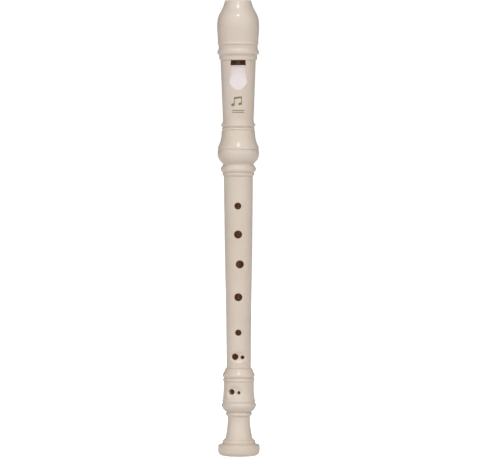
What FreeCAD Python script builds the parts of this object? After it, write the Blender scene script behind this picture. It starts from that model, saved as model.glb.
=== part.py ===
import FreeCAD, Part
import math
import os

# Soprano recorder in moulded plastic, in millimetres.
# It has three joints, a plug in the head and a film of joint grease on each tenon.
# Origin: centre of the flat ring that the foot stands on. +Z runs up the bore to the beak.
# The window and the finger holes face -Y, and the thumb hole faces +Y.

# Lengths along the bore
total_length = 330.0
lower_shoulder_z = 63.6
upper_shoulder_z = 222.15
lower_tenon_length = 13.2
upper_tenon_length = 23.5
socket_spare_depth = 0.6

# How far each joint is turned on its tenon, seen from above
middle_turn_deg = -2.1
foot_turn_deg = -16.5

# Bores and tenons, as radii
head_bore_r = 6.8
middle_bore_top_r = 6.65
middle_bore_foot_r = 5.05
foot_bore_r = 5.3
foot_mouth_r = 8.3
foot_mouth_ease = 0.3
foot_flare_height = 12.0
foot_flare_bulge = 0.75
upper_tenon_r = 8.6
lower_tenon_r = 7.6
tenon_clearance = 0.07
edge_chamfer = 0.4

# Joint grease, which fills a shallow band in each tenon
grease_band_depth = 0.25
grease_film = 0.17
grease_gap = 0.04
grease_end_gap = 0.1
upper_grease_start = 6.0
upper_grease_length = 12.0
lower_grease_start = 3.5
lower_grease_length = 6.0

# Window, labium and windway
window_width = 10.5
window_top_z = 286.75
labium_edge_z = 283.1
labium_edge_y = 6.5
labium_under_y = 4.2
labium_under_length = 21.0
ramp_foot_z = 265.4
ramp_foot_y = 11.9
ramp_widest_z = 270.6
ramp_widest = 12.7
windway_exit_floor_y = 5.9
windway_mouth_floor_y = 4.6
windway_exit_height = 1.1
windway_mouth_height = 1.6
windway_mouth_width = 11.4
windway_chamfer = 0.5
block_gap = 0.05
ramp_run_on = 8.0
ramp_side_run_on = 6.0

# The hollow under the beak is part of a large cylinder across the head
beak_cut_r = 31.0
beak_cut_z = 328.5
beak_cut_y = 31.0
lip_round = 1.0

# Finger holes in the middle joint: height, sideways offset, diameter
finger_holes = [
    (181.4, -0.1, 4.95),
    (160.8, 0.0, 5.8),
    (139.2, 1.2, 5.8),
    (115.4, 0.05, 5.75),
    (89.7, 0.05, 4.45),
]
double_hole_6 = [(72.2, -2.3, 4.6), (71.8, 3.0, 2.75)]
double_hole_7 = [(46.85, -2.5, 4.2), (46.3, 2.8, 2.45)]
thumb_hole = (190.3, 0.0, 5.2)
hole_round = 0.3

# Scooped dish round each double hole: height, depth, half length, radius of the tube there
dish_6 = (71.95, 1.25, 4.2, 8.93)
dish_7 = (46.9, 1.1, 4.9, 11.15)
dish_axis_y = 12.0

# Cutters run this far out past the widest part, and this far past a face that they open
OUTSIDE = 20.0
PAST = 1.0
SLIVER = 0.1

UP = FreeCAD.Vector(0, 0, 1)
CENTRE = FreeCAD.Vector(0, 0, 0)


def point(radius, height):
    return FreeCAD.Vector(radius, 0, height)


def outline(start, steps):
    """Edges of a turned outline. One point is a line, two an arc (through, to), more a smooth curve."""
    edges = []
    here = start
    for step in steps:
        targets = [point(*at) for at in step]
        if len(step) == 1:
            edges.append(Part.makeLine(point(*here), targets[0]))
        elif len(step) == 2:
            edges.append(Part.Arc(point(*here), targets[0], targets[1]).toShape())
        else:
            curve = Part.BSplineCurve()
            curve.interpolate([point(*here)] + targets)
            edges.append(curve.toShape())
        here = step[-1]
    return edges


def turned(start, steps):
    """Solid of revolution about Z from an outline that starts and ends away from the axis."""
    edges = outline(start, steps)
    end = steps[-1][-1]
    edges.append(Part.makeLine(point(*end), point(0, end[1])))
    edges.append(Part.makeLine(point(0, end[1]), point(0, start[1])))
    edges.append(Part.makeLine(point(0, start[1]), point(*start)))
    face = Part.Face(Part.Wire(edges))
    return face.revolve(CENTRE, UP, 360)


def cylinder(radius, low, high):
    return Part.makeCylinder(radius, high - low, FreeCAD.Vector(0, 0, low), UP)


def cone(low_radius, high_radius, low, high):
    return Part.makeCone(low_radius, high_radius, high - low, FreeCAD.Vector(0, 0, low), UP)


def side_prism(corners, half_width):
    """Prism across X from corners given as (y, z)."""
    points = [FreeCAD.Vector(-half_width, y, z) for y, z in corners]
    face = Part.Face(Part.makePolygon(points + points[:1]))
    return face.extrude(FreeCAD.Vector(2 * half_width, 0, 0))


def front_prism(corners, depth):
    """Prism from the axis towards -Y from corners given as (x, z)."""
    points = [FreeCAD.Vector(x, 0, z) for x, z in corners]
    face = Part.Face(Part.makePolygon(points + points[:1]))
    return face.extrude(FreeCAD.Vector(0, -depth, 0))


def radial_hole(height, offset, diameter, towards_back=False):
    """Drill from the axis out through the front wall, or the back wall for the thumb hole."""
    direction = 1 if towards_back else -1
    start = FreeCAD.Vector(offset, 0, height)
    return Part.makeCylinder(diameter / 2, OUTSIDE, start, FreeCAD.Vector(0, direction, 0))


def dish(height, depth, half_length, surface_r):
    """Scoop with a round bottom that bends a little round the front of a tube."""
    radius = (half_length ** 2 + depth ** 2) / (2 * depth)
    sweep = dish_axis_y + surface_r - depth + radius
    return Part.makeTorus(sweep, radius, FreeCAD.Vector(0, dish_axis_y, height), UP)


def rim_edges(shape, holes, bore_r):
    """Edges where round holes meet the outside of a tube."""
    touching = 0.02
    shortest = 0.5
    rims = []
    for edge in shape.Edges:
        samples = edge.discretize(9)
        for height, offset, diameter in holes:
            spread = [math.hypot(p.x - offset, p.z - height) - diameter / 2 for p in samples]
            on_hole = max(abs(s) for s in spread) < touching
            outside = min(math.hypot(p.x, p.y) for p in samples) > bore_r + PAST
            if on_hole and outside and edge.Length > shortest:
                rims.append(edge)
    return rims


def turn(shape, degrees):
    turned_shape = shape.copy()
    turned_shape.rotate(CENTRE, UP, degrees)
    return turned_shape


def head_outside():
    """Socket swell, two small beads, plain tube, ledge over the window, ring and beak bulge."""
    return turned((14.45, upper_shoulder_z), [
        [(14.62, 222.24), (14.71, 222.45)],
        [(14.71, 223.35)],
        [(14.46, 224.25), (13.85, 225.7), (13.24, 227.15), (12.8, 228.6), (12.45, 230.2), (12.17, 232.3),
         (12.03, 234.5)],
        [(12.0, 235.3)],
        [(11.88, 235.8)],
        [(11.36, 236.2)],
        [(11.85, 237.1), (11.32, 237.95)],
        [(11.2, 238.15)],
        [(11.45, 238.45)],
        [(12.33, 239.8), (11.6, 241.0)],
        [(11.22, 242.2), (11.05, 243.9)],
        [(12.7, window_top_z - 0.25)],
        [(12.78, window_top_z)],
        [(13.3, window_top_z + 0.12)],
        [(13.6, 287.5)],
        [(13.66, 289.4)],
        [(13.8, 290.25), (14.14, 290.85)],
        [(14.75, 291.1)],
        [(15.06, 292.2), (14.76, 293.6)],
        [(14.22, 294.5), (14.0, 295.6)],
        [(14.02, 296.7), (14.24, 297.9)],
        [(14.62, 298.2)],
        [(14.76, 298.6), (14.66, 299.1)],
        [(14.52, 299.9), (14.52, 301.0)],
        [(14.79, 304.2), (15.01, 307.9), (15.14, 311.7), (14.96, 314.8), (14.45, 317.5), (13.55, 319.9),
         (12.02, 322.7), (10.95, 324.95), (9.96, 327.8), (9.5, 329.3)],
        [(9.37, 329.8), (9.0, total_length)],
    ])


def windway_floor(height):
    """How far the windway's floor stands in front of the axis. It sinks towards the beak."""
    share = (height - window_top_z) / (total_length - window_top_z)
    return windway_exit_floor_y + share * (windway_mouth_floor_y - windway_exit_floor_y)


def windway_sides(gap):
    """Prism between the windway's straight sides, less a gap on each side. It is wider at the beak."""
    exit_half = window_width / 2 - gap
    mouth_half = windway_mouth_width / 2 - gap
    top = total_length + PAST
    bottom = window_top_z - SLIVER
    return front_prism([
        (exit_half, bottom),
        (mouth_half, top),
        (-mouth_half, top),
        (-exit_half, bottom),
    ], OUTSIDE)


def head_bore():
    """Round bore, flattened under the labium. Over the window it ends at the windway's floor."""
    top = total_length + PAST
    bottom = labium_edge_z - labium_under_length
    bore = cylinder(head_bore_r, upper_shoulder_z, top)
    labium = side_prism([
        (-labium_edge_y, labium_edge_z),
        (-head_bore_r - SLIVER, bottom),
        (-OUTSIDE, bottom),
        (-OUTSIDE, labium_edge_z),
    ], OUTSIDE)
    in_front = side_prism([
        (-windway_floor(window_top_z), window_top_z),
        (-OUTSIDE, window_top_z),
        (-OUTSIDE, top + PAST),
        (-windway_floor(top + PAST), top + PAST),
    ], OUTSIDE)
    return bore.cut(labium).cut(in_front)


def labium_underside():
    """Flat slot of the window's width that slopes from the labium's edge back into the round bore."""
    bottom = labium_edge_z - labium_under_length
    return side_prism([
        (0, window_top_z),
        (-labium_edge_y, window_top_z),
        (-labium_edge_y, labium_edge_z),
        (-labium_under_y, bottom),
        (0, bottom),
    ], window_width / 2)


def window_cut():
    """Opening through the wall and the flat ramp that rises from the labium's edge."""
    half = window_width / 2
    widest = ramp_widest / 2
    bottom = ramp_foot_z - ramp_side_run_on
    plan = front_prism([
        (half, window_top_z),
        (widest, ramp_widest_z),
        (widest, bottom),
        (-widest, bottom),
        (-widest, ramp_widest_z),
        (-half, window_top_z),
    ], OUTSIDE)
    slope = (ramp_foot_y - labium_edge_y) / (labium_edge_z - ramp_foot_z)
    below_ramp = side_prism([
        (PAST, labium_edge_z),
        (-labium_edge_y, labium_edge_z),
        (-ramp_foot_y - slope * ramp_run_on, ramp_foot_z - ramp_run_on),
        (PAST, ramp_foot_z - ramp_run_on),
    ], window_width)
    return plan.cut(below_ramp)


def windway_slot():
    """Slot in the head's front wall. The block's rib fills the inner part, and the rest is the windway."""
    top = total_length + PAST
    bottom = window_top_z - SLIVER
    exit_roof = windway_exit_floor_y + windway_exit_height
    mouth_roof = windway_mouth_floor_y + windway_mouth_height
    below_roof = side_prism([
        (0, bottom),
        (-exit_roof - windway_chamfer - SLIVER, bottom),
        (-exit_roof, window_top_z + windway_chamfer),
        (-mouth_roof, top),
        (0, top),
    ], window_width)
    return windway_sides(0).common(below_roof)


def beak_cut():
    """Everything behind the beak: a large hollow that ends in a rounded lip at the top."""
    lip_z = total_length - lip_round
    rise = lip_z - beak_cut_z
    reach = beak_cut_r + lip_round
    lip_y = beak_cut_y - math.sqrt(reach ** 2 - rise ** 2)
    lean = math.asin(rise / reach)

    def at(centre_y, centre_z, radius, angle):
        y = centre_y + radius * math.cos(angle)
        z = centre_z + radius * math.sin(angle)
        return FreeCAD.Vector(-OUTSIDE, y, z)

    def hollow(angle):
        return at(beak_cut_y, beak_cut_z, beak_cut_r, angle)

    lip_low = math.pi - lean
    bottom = 1.5 * math.pi
    lip_top = at(lip_y, lip_z, lip_round, math.pi / 2)
    lip_side = at(lip_y, lip_z, lip_round, math.pi / 4)
    corner = FreeCAD.Vector(-OUTSIDE, beak_cut_y, total_length + PAST)
    above = FreeCAD.Vector(-OUTSIDE, lip_top.y, total_length + PAST)
    edges = [
        Part.Arc(lip_top, lip_side, hollow(lip_low)).toShape(),
        Part.Arc(hollow(lip_low), hollow((lip_low + bottom) / 2), hollow(bottom)).toShape(),
        Part.makeLine(hollow(bottom), corner),
        Part.makeLine(corner, above),
        Part.makeLine(above, lip_top),
    ]
    return Part.Face(Part.Wire(edges)).extrude(FreeCAD.Vector(2 * OUTSIDE, 0, 0))


def head_joint():
    socket_top = upper_shoulder_z + upper_tenon_length + socket_spare_depth
    socket_r = upper_tenon_r + tenon_clearance
    socket = cylinder(socket_r, upper_shoulder_z - PAST, socket_top)
    mouth = cone(socket_r + 2 * edge_chamfer, socket_r, upper_shoulder_z - edge_chamfer,
                 upper_shoulder_z + edge_chamfer)
    shape = head_outside()
    for cut in (head_bore(), labium_underside(), windway_slot(), window_cut(), socket, mouth, beak_cut()):
        shape = shape.cut(cut)
    return shape


def windway_block():
    """Plug that closes the head's bore above the window. The flat front of its rib is the windway floor."""
    plug = cylinder(head_bore_r - block_gap, window_top_z, total_length)
    ease = windway_chamfer
    below_floor = side_prism([
        (OUTSIDE, window_top_z),
        (-windway_exit_floor_y + ease, window_top_z),
        (-windway_floor(window_top_z + ease), window_top_z + ease),
        (-windway_mouth_floor_y, total_length),
        (OUTSIDE, total_length),
    ], OUTSIDE)
    return plug.fuse(windway_sides(block_gap)).common(below_floor).cut(beak_cut())


def middle_outside():
    """Lower tenon, long tapered tube, thin ring, bead, cup and upper tenon."""
    lower_end = lower_shoulder_z - lower_tenon_length
    upper_end = upper_shoulder_z + upper_tenon_length
    low_band = lower_shoulder_z - lower_grease_start
    high_band = upper_shoulder_z + upper_grease_start
    lower_band_r = lower_tenon_r - grease_band_depth
    upper_band_r = upper_tenon_r - grease_band_depth
    return turned((lower_tenon_r - edge_chamfer, lower_end), [
        [(lower_tenon_r, lower_end + edge_chamfer)],
        [(lower_tenon_r, low_band - lower_grease_length)],
        [(lower_band_r, low_band - lower_grease_length)],
        [(lower_band_r, low_band)],
        [(lower_tenon_r, low_band)],
        [(lower_tenon_r, lower_shoulder_z)],
        [(8.7, lower_shoulder_z)],
        [(8.84, lower_shoulder_z + 0.06), (8.9, lower_shoulder_z + 0.2)],
        [(8.93, 70.0)],
        [(9.01, 80.0), (9.21, 99.5), (9.49, 122.0), (9.86, 146.0)],
        [(10.35, 184.0)],
        [(10.48, 202.4)],
        [(10.56, 202.75), (10.85, 203.0)],
        [(11.46, 204.15), (11.32, 205.15)],
        [(11.24, 205.4)],
        [(11.55, 205.65)],
        [(12.76, 208.1), (11.6, 210.2)],
        [(11.05, 211.2), (11.45, 212.15)],
        [(13.9, 215.0), (14.93, 219.0)],
        [(14.9, 220.6), (14.71, 221.85)],
        [(14.62, 222.06), (14.45, upper_shoulder_z)],
        [(upper_tenon_r, upper_shoulder_z)],
        [(upper_tenon_r, high_band)],
        [(upper_band_r, high_band)],
        [(upper_band_r, high_band + upper_grease_length)],
        [(upper_tenon_r, high_band + upper_grease_length)],
        [(upper_tenon_r, upper_end - edge_chamfer)],
        [(upper_tenon_r - edge_chamfer, upper_end)],
    ])


def middle_joint():
    low = lower_shoulder_z - lower_tenon_length
    high = upper_shoulder_z + upper_tenon_length
    shape = middle_outside().cut(dish(*dish_6))
    shape = shape.cut(cone(middle_bore_foot_r, middle_bore_top_r, low, high))
    for height, offset, diameter in finger_holes + double_hole_6:
        shape = shape.cut(radial_hole(height, offset, diameter))
    shape = shape.cut(radial_hole(*thumb_hole, towards_back=True))
    rims = rim_edges(shape, finger_holes + double_hole_6 + [thumb_hole], middle_bore_top_r)
    return turn(shape.makeFillet(hole_round, rims), middle_turn_deg)


def foot_outside():
    """Round base, ring, long neck, thin ring, cup, barrel, ring and the collar round the tenon."""
    return turned((11.9, 0), [
        [(14.1, 1.1), (15.05, 3.3)],
        [(15.12, 4.8), (15.04, 6.6)],
        [(14.92, 7.4), (14.58, 7.95)],
        [(12.6, 8.65)],
        [(11.7, 8.95)],
        [(11.96, 10.1), (11.2, 11.45)],
        [(10.15, 12.35), (9.7, 13.1)],
        [(8.75, 18.7), (8.08, 25.2)],
        [(8.08, 27.7)],
        [(8.2, 28.55), (8.65, 29.05)],
        [(9.5, 30.2), (8.8, 31.55)],
        [(8.85, 31.75)],
        [(11.25, 33.8), (12.44, 35.9)],
        [(12.56, 36.7), (12.3, 37.6)],
        [(11.66, 38.4)],
        [(11.68, 38.9)],
        [(12.05, 39.75), (11.66, 40.6)],
        [(11.2, 46.2), (10.93, 53.2)],
        [(10.86, 53.85)],
        [(11.52, 55.15), (10.72, 56.4)],
        [(10.68, 56.6)],
        [(11.65, 58.2), (11.32, 59.6)],
        [(10.6, 61.0), (10.1, 62.3)],
        [(9.8, 63.1), (9.2, lower_shoulder_z)],
    ])


def foot_bore():
    """Socket, straight bore and the flare at the bottom."""
    socket_low = lower_shoulder_z - lower_tenon_length - socket_spare_depth
    socket_r = lower_tenon_r + tenon_clearance
    socket = cylinder(socket_r, socket_low, lower_shoulder_z + PAST)
    mouth = cone(socket_r, socket_r + 2 * edge_chamfer, lower_shoulder_z - edge_chamfer,
                 lower_shoulder_z + edge_chamfer)
    bore = cylinder(foot_bore_r, foot_flare_height - PAST, socket_low + PAST)
    halfway = (foot_bore_r + foot_flare_bulge, foot_flare_height / 2)
    flare = turned((foot_mouth_r + foot_mouth_ease, -edge_chamfer), [
        [(foot_mouth_r - foot_mouth_ease, edge_chamfer)],
        [halfway, (foot_bore_r, foot_flare_height)],
    ])
    return [socket, mouth, bore, flare]


def foot_joint():
    shape = foot_outside().cut(dish(*dish_7))
    for cut in foot_bore():
        shape = shape.cut(cut)
    for height, offset, diameter in double_hole_7:
        shape = shape.cut(radial_hole(height, offset, diameter))
    rims = rim_edges(shape, double_hole_7, foot_bore_r)
    return turn(shape.makeFillet(hole_round, rims), foot_turn_deg)


def grease_ring(tenon_r, low, length):
    """Thin film in a tenon's band, just clear of the tenon and of its socket."""
    inside_r = tenon_r - grease_band_depth + grease_gap
    low_end = low + grease_end_gap
    high_end = low + length - grease_end_gap
    film = cylinder(inside_r + grease_film, low_end, high_end)
    return film.cut(cylinder(inside_r, low_end - PAST, high_end + PAST))


def main():
    lower_band = lower_shoulder_z - lower_grease_start - lower_grease_length
    upper_band = upper_shoulder_z + upper_grease_start
    nodes = {
        "head_joint": head_joint(),
        "windway_block": windway_block(),
        "middle_joint": middle_joint(),
        "foot_joint": foot_joint(),
        "upper_joint_grease": grease_ring(upper_tenon_r, upper_band, upper_grease_length),
        "lower_joint_grease": grease_ring(lower_tenon_r, lower_band, lower_grease_length),
    }
    os.makedirs("parts", exist_ok=True)
    for name, shape in nodes.items():
        solids = shape.Solids
        print(name, len(solids), "solid", round(shape.Volume / 1000, 2), "cm3", shape.isValid())
        shape.exportStep("parts/" + name + ".step")


main()
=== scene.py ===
import math

import bmesh
import bpy
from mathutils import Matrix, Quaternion, Vector
from mathutils.bvhtree import BVHTree
from mathutils.geometry import delaunay_2d_cdt


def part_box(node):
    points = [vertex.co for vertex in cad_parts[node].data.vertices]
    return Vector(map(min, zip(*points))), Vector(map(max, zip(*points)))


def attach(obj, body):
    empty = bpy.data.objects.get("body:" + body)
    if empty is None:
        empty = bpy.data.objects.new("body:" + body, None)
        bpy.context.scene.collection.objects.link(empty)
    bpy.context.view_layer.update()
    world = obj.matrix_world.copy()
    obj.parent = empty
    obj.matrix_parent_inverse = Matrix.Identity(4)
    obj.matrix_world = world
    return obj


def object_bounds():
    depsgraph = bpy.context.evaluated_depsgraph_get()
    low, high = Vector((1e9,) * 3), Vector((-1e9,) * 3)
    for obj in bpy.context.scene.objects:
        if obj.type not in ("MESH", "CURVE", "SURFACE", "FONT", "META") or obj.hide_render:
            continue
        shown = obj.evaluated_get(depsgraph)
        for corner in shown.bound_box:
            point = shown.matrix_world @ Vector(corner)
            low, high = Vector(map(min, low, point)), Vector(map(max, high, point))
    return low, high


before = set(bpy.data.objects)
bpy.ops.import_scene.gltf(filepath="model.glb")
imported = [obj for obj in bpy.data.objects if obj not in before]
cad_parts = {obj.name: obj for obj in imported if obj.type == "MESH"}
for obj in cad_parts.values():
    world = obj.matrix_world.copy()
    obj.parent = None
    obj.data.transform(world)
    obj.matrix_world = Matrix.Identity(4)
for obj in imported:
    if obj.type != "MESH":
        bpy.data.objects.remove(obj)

# Soprano recorder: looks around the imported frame. Metres, in the CAD's own frame.
# +Z runs up the bore to the beak, and the window and the finger holes face -Y.

cad_low, cad_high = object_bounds()
head_low, head_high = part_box("head_joint")
head_top = head_high.z

# Camera: where it stands, the height it aims at, its lens in mm and its roll in radians
CAMERA_DISTANCE = 2.9
CAMERA_HEIGHT = 0.265
AIM_HEIGHT = 0.1645
LENS_MM = 302.2
SENSOR_MM = 36.0
CLIP_START = 0.1
CLIP_END = 60.0
ROLL = 0.0019

# Both lights aim at the middle of the recorder's length.
AIM_LIGHT = Vector((0.0, 0.0, cad_high.z / 2))

# Key light, in front and above
KEY_ELEVATION = math.radians(46.0)
KEY_DISTANCE = 2.6
KEY_SIZE = 0.34
KEY_WATTS = 8.4
KEY_COLOUR = (0.90, 0.98, 1.14)

# Back light, behind and above. It only lights, and isn't seen in reflections.
BACK_ELEVATION = math.radians(32.0)
BACK_DISTANCE = 2.6
BACK_SIZE = 1.0
BACK_WATTS = 20.0
WHITE = (1.0, 1.0, 1.0)

# Soft light from all round. Its strength goes by the y of the direction it comes from: the front's
# strength up to DOME_FULL falls to the back's at DOME_END, and the fill rises from BACK_START to BACK_FULL.
DOME_FRONT = 1.155
DOME_BACK = 0.05
DOME_FULL = -0.65
DOME_END = 0.1
BACK_FILL = 0.12
BACK_START = 0.5
BACK_FULL = 0.95

# White paper: the backdrop's strength, the floor's grey, and what lifts the floor to white
PAPER = 1.02
PAPER_GREY = 0.9
PAPER_LIFT = 0.74

# The floor lies this far below the foot, which leaves room to pull the foot down off its tenon.
FLOOR_DROP = 0.0142
FLOOR_RADIUS = 12.0
FLOOR_SIDES = 96

# Colours, linear
IVORY = (0.80, 0.685, 0.575, 1.0)
IVORY_WARM = (0.78, 0.655, 0.53, 1.0)
# Painted highlight: the ramp's paler, pinker colour stands in for the light it catches
RAMP_PAINTED_HIGHLIGHT = (0.84, 0.745, 0.72, 1.0)
# Painted shade: the bore's warm brown, and the painted glow that stands in for light through the wall
BORE_PAINTED_SHADE = (0.34, 0.195, 0.105, 1.0)
BORE_PAINTED_GLOW = (1.0, 0.38, 0.15, 1.0)
INK = (0.24, 0.19, 0.10, 1.0)
INK_THIN = (0.34, 0.28, 0.165, 1.0)
GREASE = (0.88, 0.765, 0.64, 1.0)
GREASE_THICK = (0.86, 0.735, 0.585, 1.0)

# Plastic: soft changes of tone and gloss, and long faint scratches. Scales are in features per metre.
PLASTIC_IOR = 1.53
TONE_SCALE = 35.0
TONE_SPAN = (0.35, 0.65)
CLOUD_SCALE = 420.0
CLOUD_SPAN = (0.3, 0.7)
CLOUD_ROUGHNESS = (0.17, 0.22)
SCRATCH_SCALE = 900.0
SCRATCH_STRETCH = (1.0, 1.0, 0.06)
SCRATCH_SPAN = (0.62, 0.72)
SCRATCH_ROUGHNESS = (0.0, 0.10)
GRAIN_SCALE = 1500.0
GRAIN_STRENGTH = 0.06
GRAIN_DEPTH = 0.0001

# Light that soaks into the plastic
SCATTER_OUTSIDE = 0.08
SCATTER_INSIDE = 1.0
SCATTER_RADIUS = (0.8, 0.6, 0.4)
SCATTER_SCALE = 0.006

# The bore's painted shade, a warm brown, and its painted glow, both standing in for light through the wall,
# lie inside these radii and fade out past them.
# In the head they keep behind the front limit and below the window's top.
HEAD_BORE = 0.0070
MIDDLE_BORE = 0.0064
FOOT_BORE = 0.0056
BORE_FADE = 0.0012
HEAD_FRONT_LIMIT = -0.0064
HEAD_TOP_LIMIT = head_top - 0.0433
# Strengths of the painted glow in the bore and in the head under the window
BORE_PAINTED_GLOW_STRENGTH = 0.040
WINDOW_PAINTED_GLOW_STRENGTH = 0.026

# The labium's ramp: its upper and lower ends as (y, z), the skin and the half width that count as the ramp,
# how much rougher it is, and the painted glow on its thin upper edge, which lifts the shade cast by the
# window's top
RAMP_TOP = (-0.0065, head_top - 0.0469)
RAMP_FOOT = (-0.0119, head_top - 0.0646)
RAMP_SKIN = 0.0001
RAMP_HALF_WIDTH = 0.0066
RAMP_SATIN = 0.21
# Painted light on the ramp's upper edge, which lifts the shade cast there by the window's top
EDGE_PAINTED_GLOW_START = head_top - 0.0515
EDGE_PAINTED_GLOW_STRENGTH = 0.2

# Ink of the printed mark
INK_SCALE = 1400.0
INK_SPAN = (0.45, 0.75)
INK_ROUGHNESS = (0.45, 0.6)

# Grease, wiped round the tenon in faint rings
GREASE_IOR = 1.47
GREASE_TRANSMISSION = 0.1
SMEAR_SCALE = 260.0
SMEAR_STRETCH = (0.35, 0.35, 3.0)
SMEAR_SPAN = (0.35, 0.65)
SMEAR_STRENGTH = 0.3
SMEAR_DEPTH = 0.0002
GREASE_ROUGHNESS = (0.12, 0.3)

# Octaves of the noises
COARSE_DETAIL = 3.0
FINE_DETAIL = 2.0

# Printed mark on the front of the head: a pair of notes, and a double rule under it
NOTES_Z = head_top - 0.0724
NOTE_HEIGHT = 0.0080
NOTE_GAP = 0.0052
NOTE_HEAD = 0.0024
NOTE_LONG_HALF = NOTE_HEAD * 0.56
NOTE_SHORT_HALF = NOTE_HEAD * 0.4
BEAM_DEPTH = NOTE_HEAD * 0.55
NOTE_RISE = 0.0007
NOTE_TILT = math.radians(22.0)
NOTE_SIDES = 40
RULE_Z = head_top - 0.0802
RULE_WIDTH = 0.0086
RULE_GAP = 0.0014
MARK_STROKE = 0.00055

# The ink follows the head's surface in steps of this length, a little proud of it and a little sunk in it.
# The rays that find the surface start this far in front of the head.
MARK_STEP = 0.0003
MARK_PROUD = 0.00005
MARK_SUNK = 0.00003
RAY_START = 0.01

# For the triangulation: keep only triangles inside the outlines, and merge points closer than this
KEEP_INSIDE = 1
MERGE_WITHIN = 1e-7


def new_material(name):
    material = bpy.data.materials.new(name)
    material.use_nodes = True
    tree = material.node_tree
    tree.nodes.clear()
    output = tree.nodes.new("ShaderNodeOutputMaterial")
    return material, tree, output


def node(tree, kind, **values):
    made = tree.nodes.new(kind)
    for name, value in values.items():
        setattr(made, name, value)
    return made


def put(tree, socket, value):
    """A socket's value is set from a number or a colour, or linked from another socket."""
    if isinstance(value, bpy.types.NodeSocket):
        tree.links.new(value, socket)
    else:
        socket.default_value = value


def noise(tree, place, scale, detail=COARSE_DETAIL, stretch=(1.0, 1.0, 1.0)):
    mapping = node(tree, "ShaderNodeMapping")
    mapping.inputs["Scale"].default_value = stretch
    tree.links.new(place, mapping.inputs["Vector"])
    texture = node(tree, "ShaderNodeTexNoise")
    texture.inputs["Scale"].default_value = scale
    texture.inputs["Detail"].default_value = detail
    tree.links.new(mapping.outputs["Vector"], texture.inputs["Vector"])
    return texture.outputs["Fac"]


def remap(tree, value, span, result=(0.0, 1.0)):
    """Smooth step over the span, from the first result to the second."""
    step = node(tree, "ShaderNodeMapRange", interpolation_type="SMOOTHSTEP")
    step.inputs["From Min"].default_value = span[0]
    step.inputs["From Max"].default_value = span[1]
    step.inputs["To Min"].default_value = result[0]
    step.inputs["To Max"].default_value = result[1]
    tree.links.new(value, step.inputs["Value"])
    return step.outputs["Result"]


def combine(tree, operation, first, second=0.0):
    """A Math node on sockets or numbers."""
    made = node(tree, "ShaderNodeMath", operation=operation)
    put(tree, made.inputs[0], first)
    put(tree, made.inputs[1], second)
    return made.outputs["Value"]


def blend_colours(tree, amount, first, second):
    mix = node(tree, "ShaderNodeMix", data_type="RGBA")
    tree.links.new(amount, mix.inputs["Factor"])
    put(tree, mix.inputs["A"], first)
    put(tree, mix.inputs["B"], second)
    return mix.outputs["Result"]


def add_bump(tree, shader, height, strength, depth):
    bump = node(tree, "ShaderNodeBump")
    bump.inputs["Strength"].default_value = strength
    bump.inputs["Distance"].default_value = depth
    tree.links.new(height, bump.inputs["Height"])
    tree.links.new(bump.outputs["Normal"], shader.inputs["Normal"])


def in_bore(tree, axes, bore_radius):
    """1 inside the bore's radius, fading to 0 in the wall."""
    across = combine(tree, "POWER", axes.outputs["X"], 2.0)
    deep = combine(tree, "POWER", axes.outputs["Y"], 2.0)
    radius = combine(tree, "SQRT", combine(tree, "ADD", across, deep))
    return remap(tree, radius, (bore_radius, bore_radius + BORE_FADE), (1.0, 0.0))


def under_window(tree, axes, inside):
    """What is left of the head's bore behind the ramp's face and below the window's top."""
    behind = combine(tree, "GREATER_THAN", axes.outputs["Y"], HEAD_FRONT_LIMIT)
    inside = combine(tree, "MULTIPLY", inside, behind)
    below = combine(tree, "LESS_THAN", axes.outputs["Z"], HEAD_TOP_LIMIT)
    return combine(tree, "MULTIPLY", inside, below)


def on_ramp(tree, axes):
    """1 on the labium's flat ramp and 0 elsewhere, by the distance from the plane through its two ends."""
    rise = RAMP_TOP[1] - RAMP_FOOT[1]
    run = RAMP_TOP[0] - RAMP_FOOT[0]
    length = math.hypot(run, rise)
    level = (RAMP_TOP[0] * rise - RAMP_TOP[1] * run) / length
    by_y = combine(tree, "MULTIPLY", axes.outputs["Y"], rise / length)
    by_z = combine(tree, "MULTIPLY", axes.outputs["Z"], run / length)
    distance = combine(tree, "SUBTRACT", combine(tree, "SUBTRACT", by_y, by_z), level)
    close = combine(tree, "LESS_THAN", combine(tree, "ABSOLUTE", distance), RAMP_SKIN)
    sideways = combine(tree, "ABSOLUTE", axes.outputs["X"])
    between = combine(tree, "LESS_THAN", sideways, RAMP_HALF_WIDTH)
    return combine(tree, "MULTIPLY", close, between)


def plastic_roughness(tree, place):
    cloud = noise(tree, place, CLOUD_SCALE)
    scratch = noise(tree, place, SCRATCH_SCALE, FINE_DETAIL, SCRATCH_STRETCH)
    wear = remap(tree, scratch, SCRATCH_SPAN, SCRATCH_ROUGHNESS)
    return combine(tree, "ADD", remap(tree, cloud, CLOUD_SPAN, CLOUD_ROUGHNESS), wear)


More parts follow.
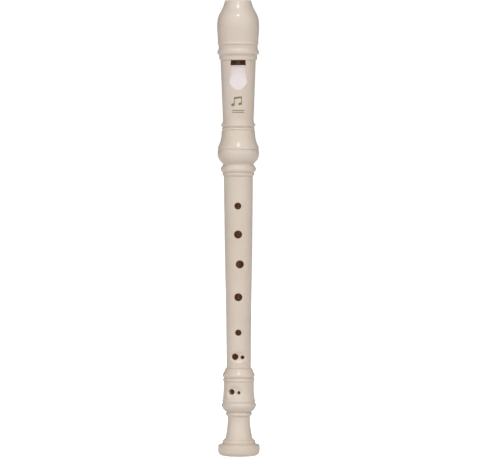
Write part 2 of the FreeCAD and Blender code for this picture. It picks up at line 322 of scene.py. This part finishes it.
def ivory_plastic(name, bore_radius=None, is_head=False):
    """Glossy moulded plastic. A bore gets painted shade in warm brown and a little painted light, and the
    head's ramp is satin, with a paler colour as a painted highlight and painted light on its thin upper rim.
    """
    material, tree, output = new_material(name)
    place = node(tree, "ShaderNodeTexCoord").outputs["Object"]
    shader = node(tree, "ShaderNodeBsdfPrincipled")
    shader.inputs["IOR"].default_value = PLASTIC_IOR
    shader.inputs["Subsurface Weight"].default_value = SCATTER_OUTSIDE
    shader.inputs["Subsurface Radius"].default_value = SCATTER_RADIUS
    shader.inputs["Subsurface Scale"].default_value = SCATTER_SCALE
    tone = remap(tree, noise(tree, place, TONE_SCALE), TONE_SPAN)
    colour = blend_colours(tree, tone, IVORY, IVORY_WARM)
    rough = plastic_roughness(tree, place)
    if bore_radius:
        axes = node(tree, "ShaderNodeSeparateXYZ")
        tree.links.new(place, axes.inputs["Vector"])
        inside = in_bore(tree, axes, bore_radius)
        painted_glow_strength = BORE_PAINTED_GLOW_STRENGTH
        painted_glow_colour = BORE_PAINTED_GLOW
        if is_head:
            inside = under_window(tree, axes, inside)
            painted_glow_strength = WINDOW_PAINTED_GLOW_STRENGTH
        # Painted shade: the bore's walls are coloured warm brown
        colour = blend_colours(tree, inside, colour, BORE_PAINTED_SHADE)
        soak = remap(tree, inside, (0.0, 1.0), (SCATTER_OUTSIDE, SCATTER_INSIDE))
        # Painted glow in the bore, standing in for light through the wall
        painted_glow = combine(tree, "MULTIPLY", inside, painted_glow_strength)
        if is_head:
            ramp = on_ramp(tree, axes)
            # Painted highlight: the ramp is given a paler colour
            colour = blend_colours(tree, ramp, colour, RAMP_PAINTED_HIGHLIGHT)
            rough = combine(tree, "ADD", rough, combine(tree, "MULTIPLY", ramp, RAMP_SATIN))
            # Painted glow on the ramp's upper edge, lifting the shade cast by the window's top
            edge_painted_glow_span = (EDGE_PAINTED_GLOW_START, RAMP_TOP[1])
            edge_painted_glow = remap(tree, axes.outputs["Z"], edge_painted_glow_span, (0.0, EDGE_PAINTED_GLOW_STRENGTH))
            painted_glow = combine(tree, "ADD", painted_glow, combine(tree, "MULTIPLY", edge_painted_glow, ramp))
            painted_glow_colour = blend_colours(tree, ramp, BORE_PAINTED_GLOW, RAMP_PAINTED_HIGHLIGHT)
        tree.links.new(soak, shader.inputs["Subsurface Weight"])
        put(tree, shader.inputs["Emission Color"], painted_glow_colour)
        tree.links.new(painted_glow, shader.inputs["Emission Strength"])
    tree.links.new(colour, shader.inputs["Base Color"])
    tree.links.new(rough, shader.inputs["Roughness"])
    add_bump(tree, shader, noise(tree, place, GRAIN_SCALE, FINE_DETAIL), GRAIN_STRENGTH, GRAIN_DEPTH)
    tree.links.new(shader.outputs["BSDF"], output.inputs["Surface"])
    return material


def printed_ink():
    """Matt ink, a little paler where it lies thinner."""
    material, tree, output = new_material("ink")
    place = node(tree, "ShaderNodeTexCoord").outputs["Object"]
    thin = remap(tree, noise(tree, place, INK_SCALE, FINE_DETAIL), INK_SPAN)
    shader = node(tree, "ShaderNodeBsdfPrincipled")
    tree.links.new(blend_colours(tree, thin, INK, INK_THIN), shader.inputs["Base Color"])
    tree.links.new(remap(tree, thin, (0.0, 1.0), INK_ROUGHNESS), shader.inputs["Roughness"])
    tree.links.new(shader.outputs["BSDF"], output.inputs["Surface"])
    return material


def joint_grease():
    material, tree, output = new_material("grease")
    place = node(tree, "ShaderNodeTexCoord").outputs["Object"]
    smear = noise(tree, place, SMEAR_SCALE, COARSE_DETAIL, SMEAR_STRETCH)
    thick = remap(tree, smear, SMEAR_SPAN)
    shader = node(tree, "ShaderNodeBsdfPrincipled")
    shader.inputs["IOR"].default_value = GREASE_IOR
    shader.inputs["Transmission Weight"].default_value = GREASE_TRANSMISSION
    tree.links.new(blend_colours(tree, thick, GREASE, GREASE_THICK), shader.inputs["Base Color"])
    tree.links.new(remap(tree, thick, (0.0, 1.0), GREASE_ROUGHNESS), shader.inputs["Roughness"])
    add_bump(tree, shader, smear, SMEAR_STRENGTH, SMEAR_DEPTH)
    tree.links.new(shader.outputs["BSDF"], output.inputs["Surface"])
    return material


def dress(name, material):
    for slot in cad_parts[name].material_slots:
        slot.material = material


def make_camera():
    data = bpy.data.cameras.new("camera")
    data.lens = LENS_MM
    data.sensor_width = SENSOR_MM
    data.clip_start = CLIP_START
    data.clip_end = CLIP_END
    camera = bpy.data.objects.new("camera", data)
    bpy.context.scene.collection.objects.link(camera)
    camera.location = (0.0, -CAMERA_DISTANCE, CAMERA_HEIGHT)
    aim = Vector((0.0, 0.0, AIM_HEIGHT))
    level = (aim - camera.location).to_track_quat("-Z", "Y")
    camera.rotation_euler = (level @ Quaternion((0.0, 0.0, 1.0), -ROLL)).to_euler()
    bpy.context.scene.camera = camera


def area_light(name, side, distance, elevation, size, watts, colour):
    """Square light in front (side -1) or behind (side 1), turned to the recorder."""
    data = bpy.data.lights.new(name, "AREA")
    data.shape = "SQUARE"
    data.size = size
    data.energy = watts
    data.color = colour
    light = bpy.data.objects.new(name, data)
    bpy.context.scene.collection.objects.link(light)
    away = distance * math.cos(elevation)
    rise = distance * math.sin(elevation)
    place = Vector((0.0, side * away, AIM_LIGHT.z + rise))
    light.location = place
    light.rotation_euler = (AIM_LIGHT - place).to_track_quat("-Z", "Y").to_euler()
    return light


def make_lights():
    area_light("key", -1, KEY_DISTANCE, KEY_ELEVATION, KEY_SIZE, KEY_WATTS, KEY_COLOUR)
    back = area_light("back", 1, BACK_DISTANCE, BACK_ELEVATION, BACK_SIZE, BACK_WATTS, WHITE)
    back.visible_glossy = False


def make_world():
    """White paper behind the recorder, and soft light that comes mostly from the front."""
    world = bpy.data.worlds.new("studio")
    bpy.context.scene.world = world
    world.use_nodes = True
    tree = world.node_tree
    tree.nodes.clear()
    output = tree.nodes.new("ShaderNodeOutputWorld")
    backdrop = node(tree, "ShaderNodeBackground")
    backdrop.inputs["Color"].default_value = (*WHITE, 1.0)
    backdrop.inputs["Strength"].default_value = PAPER
    around = node(tree, "ShaderNodeBackground")
    around.inputs["Color"].default_value = (*WHITE, 1.0)
    axes = node(tree, "ShaderNodeSeparateXYZ")
    tree.links.new(node(tree, "ShaderNodeTexCoord").outputs["Generated"], axes.inputs["Vector"])
    front = remap(tree, axes.outputs["Y"], (DOME_FULL, DOME_END), (DOME_FRONT, DOME_BACK))
    behind = remap(tree, axes.outputs["Y"], (BACK_START, BACK_FULL), (0.0, BACK_FILL))
    tree.links.new(combine(tree, "ADD", front, behind), around.inputs["Strength"])
    path = node(tree, "ShaderNodeLightPath")
    mix = node(tree, "ShaderNodeMixShader")
    tree.links.new(path.outputs["Is Camera Ray"], mix.inputs["Fac"])
    tree.links.new(around.outputs["Background"], mix.inputs[1])
    tree.links.new(backdrop.outputs["Background"], mix.inputs[2])
    tree.links.new(mix.outputs["Shader"], output.inputs["Surface"])


def make_floor():
    mesh = bpy.data.meshes.new("floor")
    floor = bpy.data.objects.new("floor", mesh)
    bpy.context.scene.collection.objects.link(floor)
    build = bmesh.new()
    bmesh.ops.create_circle(build, cap_ends=True, segments=FLOOR_SIDES, radius=FLOOR_RADIUS)
    build.to_mesh(mesh)
    build.free()
    floor.location.z = cad_low.z - FLOOR_DROP
    material, tree, output = new_material("paper_floor")
    paper = node(tree, "ShaderNodeBsdfDiffuse")
    paper.inputs["Color"].default_value = (PAPER_GREY, PAPER_GREY, PAPER_GREY, 1.0)
    lift = node(tree, "ShaderNodeEmission")
    path = node(tree, "ShaderNodeLightPath")
    amount = combine(tree, "MULTIPLY", path.outputs["Is Camera Ray"], PAPER_LIFT)
    tree.links.new(amount, lift.inputs["Strength"])
    both = node(tree, "ShaderNodeAddShader")
    tree.links.new(paper.outputs["BSDF"], both.inputs[0])
    tree.links.new(lift.outputs["Emission"], both.inputs[1])
    tree.links.new(both.outputs["Shader"], output.inputs["Surface"])
    mesh.materials.append(material)


def rectangle(low_x, high_x, low_z, high_z):
    return [(low_x, low_z), (high_x, low_z), (high_x, high_z), (low_x, high_z)]


def note_head(centre_x, centre_z):
    """Outline of a tilted ellipse."""
    points = []
    for step in range(NOTE_SIDES):
        angle = 2 * math.pi * step / NOTE_SIDES
        along = NOTE_LONG_HALF * math.cos(angle)
        across = NOTE_SHORT_HALF * math.sin(angle)
        x = centre_x + along * math.cos(NOTE_TILT) - across * math.sin(NOTE_TILT)
        z = centre_z + along * math.sin(NOTE_TILT) + across * math.cos(NOTE_TILT)
        points.append((x, z))
    return points


def notes_outlines():
    """Two quavers joined by a slanted beam, about the symbol's centre."""
    stem = MARK_STROKE / 2
    outlines = []
    tops = []
    for side in (-1, 1):
        head_x = side * NOTE_GAP / 2 - NOTE_HEAD / 2
        head_z = -NOTE_HEIGHT / 2 + NOTE_SHORT_HALF + (side + 1) * NOTE_RISE / 2
        stem_x = head_x + NOTE_HEAD / 2 - stem
        stem_top = head_z + NOTE_HEIGHT - 2 * NOTE_SHORT_HALF - NOTE_RISE
        outlines.append(note_head(head_x, head_z))
        outlines.append(rectangle(stem_x - stem, stem_x + stem, head_z, stem_top))
        tops.append((stem_x, stem_top))
    (left_x, left_z), (right_x, right_z) = tops
    outlines.append([
        (left_x - stem, left_z - BEAM_DEPTH),
        (right_x + stem, right_z - BEAM_DEPTH),
        (right_x + stem, right_z),
        (left_x - stem, left_z),
    ])
    return outlines


def rule_outlines():
    """Two level bars, about their common centre."""
    half = RULE_WIDTH / 2
    outlines = []
    for middle in (-RULE_GAP / 2, RULE_GAP / 2):
        low = middle - MARK_STROKE / 2
        high = middle + MARK_STROKE / 2
        outlines.append(rectangle(-half, half, low, high))
    return outlines


def side_points(corners, spacing):
    """Points along a closed outline, no further apart than the spacing."""
    points = []
    for here, there in zip(corners, corners[1:] + corners[:1]):
        length = math.hypot(there[0] - here[0], there[1] - here[1])
        steps = max(1, math.ceil(length / spacing))
        for step in range(steps):
            share = step / steps
            x = here[0] + (there[0] - here[0]) * share
            z = here[1] + (there[1] - here[1]) * share
            points.append((x, z))
    return points


def triangulate(outlines):
    """Flat triangles that fill the outlines, with points on a grid inside them."""
    flat = []
    faces = []
    for outline in outlines:
        points = side_points(outline, MARK_STEP)
        faces.append(list(range(len(flat), len(flat) + len(points))))
        flat += [Vector(point) for point in points]
    columns = math.ceil(max(abs(point.x) for point in flat) / MARK_STEP)
    rows = math.ceil(max(abs(point.y) for point in flat) / MARK_STEP)
    for row in range(-rows, rows + 1):
        for column in range(-columns, columns + 1):
            flat.append(Vector((column * MARK_STEP, row * MARK_STEP)))
    points, _, triangles, _, _, _ = delaunay_2d_cdt(flat, [], faces, KEEP_INSIDE, MERGE_WITHIN)
    return points, triangles


def surface_of(node_name):
    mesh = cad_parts[node_name].data
    corners = [vertex.co for vertex in mesh.vertices]
    return BVHTree.FromPolygons(corners, [face.vertices for face in mesh.polygons])


def print_on(name, surface, outlines, centre_z):
    """Closed thin shell of ink that follows the surface, as seen straight from the front."""
    points, triangles = triangulate(outlines)
    build = bmesh.new()
    outer = {}
    inner = {}
    for index in sorted({index for triangle in triangles for index in triangle}):
        start = Vector((points[index].x, head_low.y - RAY_START, centre_z + points[index].y))
        place, _, _, _ = surface.ray_cast(start, Vector((0.0, 1.0, 0.0)))
        outward = Vector((place.x, place.y, 0.0)).normalized()
        outer[index] = build.verts.new(place + outward * MARK_PROUD)
        inner[index] = build.verts.new(place - outward * MARK_SUNK)
    edges = {}
    for triangle in triangles:
        build.faces.new([outer[index] for index in triangle])
        build.faces.new([inner[index] for index in reversed(triangle)])
        for here, there in zip(triangle, list(triangle[1:]) + [triangle[0]]):
            edges[(here, there)] = True
    for here, there in edges:
        if (there, here) not in edges:
            build.faces.new([outer[there], outer[here], inner[here], inner[there]])
    bmesh.ops.recalc_face_normals(build, faces=build.faces)
    mesh = bpy.data.meshes.new(name)
    build.to_mesh(mesh)
    build.free()
    piece = bpy.data.objects.new(name, mesh)
    bpy.context.scene.collection.objects.link(piece)
    return piece


def make_mark():
    ink = printed_ink()
    head = surface_of("head_joint")
    marks = (
        ("printed_notes", notes_outlines(), NOTES_Z),
        ("printed_rule", rule_outlines(), RULE_Z),
    )
    for name, outlines, centre_z in marks:
        piece = print_on(name, head, outlines, centre_z)
        piece.data.materials.append(ink)
        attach(piece, "head")


bpy.context.scene.view_settings.view_transform = "Standard"
make_camera()
make_world()
make_lights()
make_floor()

dress("head_joint", ivory_plastic("head_plastic", HEAD_BORE, is_head=True))
dress("windway_block", ivory_plastic("block_plastic"))
dress("middle_joint", ivory_plastic("middle_plastic", MIDDLE_BORE))
dress("foot_joint", ivory_plastic("foot_plastic", FOOT_BORE))
grease = joint_grease()
dress("upper_joint_grease", grease)
dress("lower_joint_grease", grease)
make_mark()
